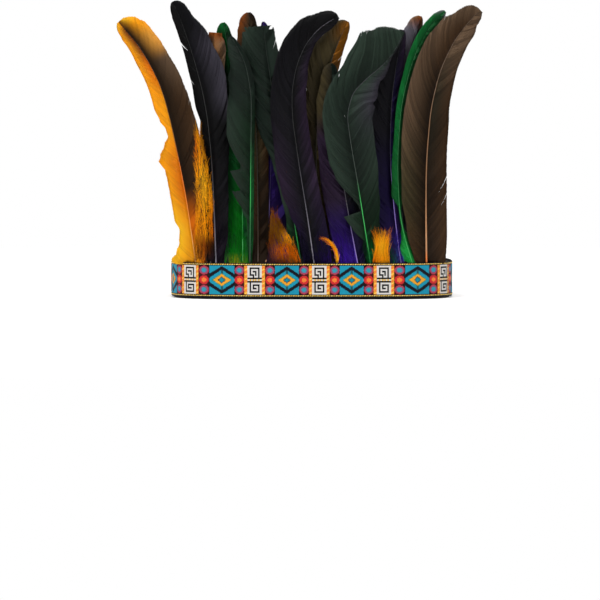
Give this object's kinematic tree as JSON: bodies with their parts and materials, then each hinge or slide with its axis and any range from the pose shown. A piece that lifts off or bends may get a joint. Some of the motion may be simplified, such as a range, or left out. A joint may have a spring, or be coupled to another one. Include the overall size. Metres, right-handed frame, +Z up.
{
  "type": "feathered headdress",
  "caption": "Feathered headdress: a woven patterned band on a black backing, open for the head, with dyed feathers and downy tufts standing across its front.",
  "frame": {"origin": "under the middle of the whole object's box, at the height of the band's lower edge", "axes": "+Z up along the feathers, -Y to the front of the head, +X to the viewer's right"},
  "size_m": [0.2012, 0.1804, 0.1635],
  "materials": {
    "backing_felt": "black felt band, matt",
    "ribbon_jacquard": "woven jacquard ribbon: white, black, turquoise, navy, orange, red, rose and gold threads",
    "vane_amber": "dyed feather, amber and brown, satin",
    "vane_brown": "dyed feather, brown, satin",
    "vane_black": "dyed feather, black with a grey sheen",
    "vane_emerald": "dyed feather, bright green, satin",
    "vane_green": "dyed feather, dark green, satin",
    "vane_olive": "dyed feather, olive brown, satin",
    "vane_violet": "dyed feather, black violet, satin",
    "vane_plum": "dyed feather, plum black, satin",
    "vane_grey": "dyed feather, grey with a brown tip",
    "down_orange": "dyed down, orange, matt"
  },
  "bodies": {
    "root": {"band_backing": "backing_felt", "woven_ribbon": "ribbon_jacquard", "feather_amber_left": "vane_amber", "feather_brown_left": "vane_brown", "feather_black_left": "vane_black", "feather_emerald_left": "vane_emerald", "feather_green_left": "vane_green", "feather_olive_left": "vane_olive", "feather_violet_left": "vane_violet", "feather_green_middle": "vane_green", "feather_black_middle": "vane_black", "feather_olive_middle": "vane_olive", "feather_plum_middle": "vane_plum", "feather_green_sickle": "vane_green", "feather_violet_right": "vane_violet", "feather_grey_right": "vane_grey", "feather_emerald_right": "vane_emerald", "feather_brown_right": "vane_brown", "tuft_amber_left": "down_orange", "tuft_orange_middle": "down_orange", "tuft_yellow_curl": "down_orange", "tuft_orange_right": "down_orange"}
  },
  "joints": []
}
